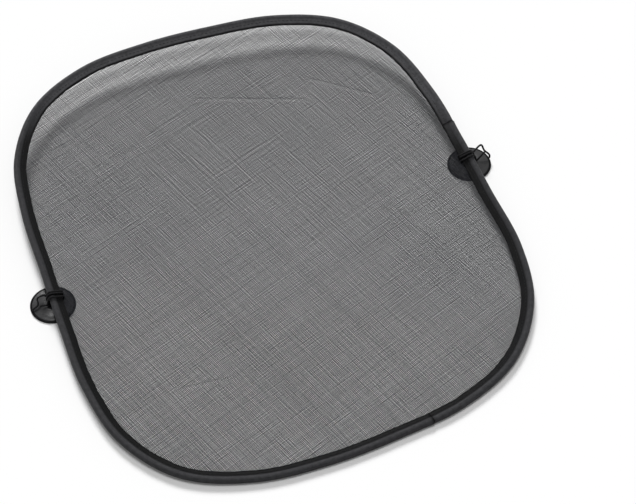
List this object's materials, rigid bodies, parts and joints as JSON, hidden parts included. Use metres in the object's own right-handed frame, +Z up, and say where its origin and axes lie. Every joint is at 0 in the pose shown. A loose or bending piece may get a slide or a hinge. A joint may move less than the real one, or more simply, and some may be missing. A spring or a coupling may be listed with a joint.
{
  "type": "car side window sunshade",
  "caption": "Rounded car side window sunshade: dark see-through net in a sprung wire frame with a cloth hem and clipped suction cups.",
  "frame": {"origin": "middle of the outline seen from above, on the surface that the shade lies on", "axes": "+Z up from the surface, +Y towards the raised back edge, +X towards the slanted side"},
  "size_m": [0.4392, 0.4914, 0.0212],
  "materials": {
    "hem_cloth": "matte woven tape",
    "net_cloth": "matte open net",
    "cup_vinyl": "smooth, half gloss",
    "clip_wire": "black coated spring wire",
    "frame_steel": "drawn wire"
  },
  "bodies": {
    "root": {"frame_wire": "frame_steel", "wire_ferrule": "frame_steel", "hem_main": "hem_cloth", "hem_side": "hem_cloth", "net_panel": "net_cloth", "suction_cup_left": "cup_vinyl", "cup_clip_left": "clip_wire", "suction_cup_right": "cup_vinyl", "cup_clip_right": "clip_wire"}
  },
  "joints": []
}
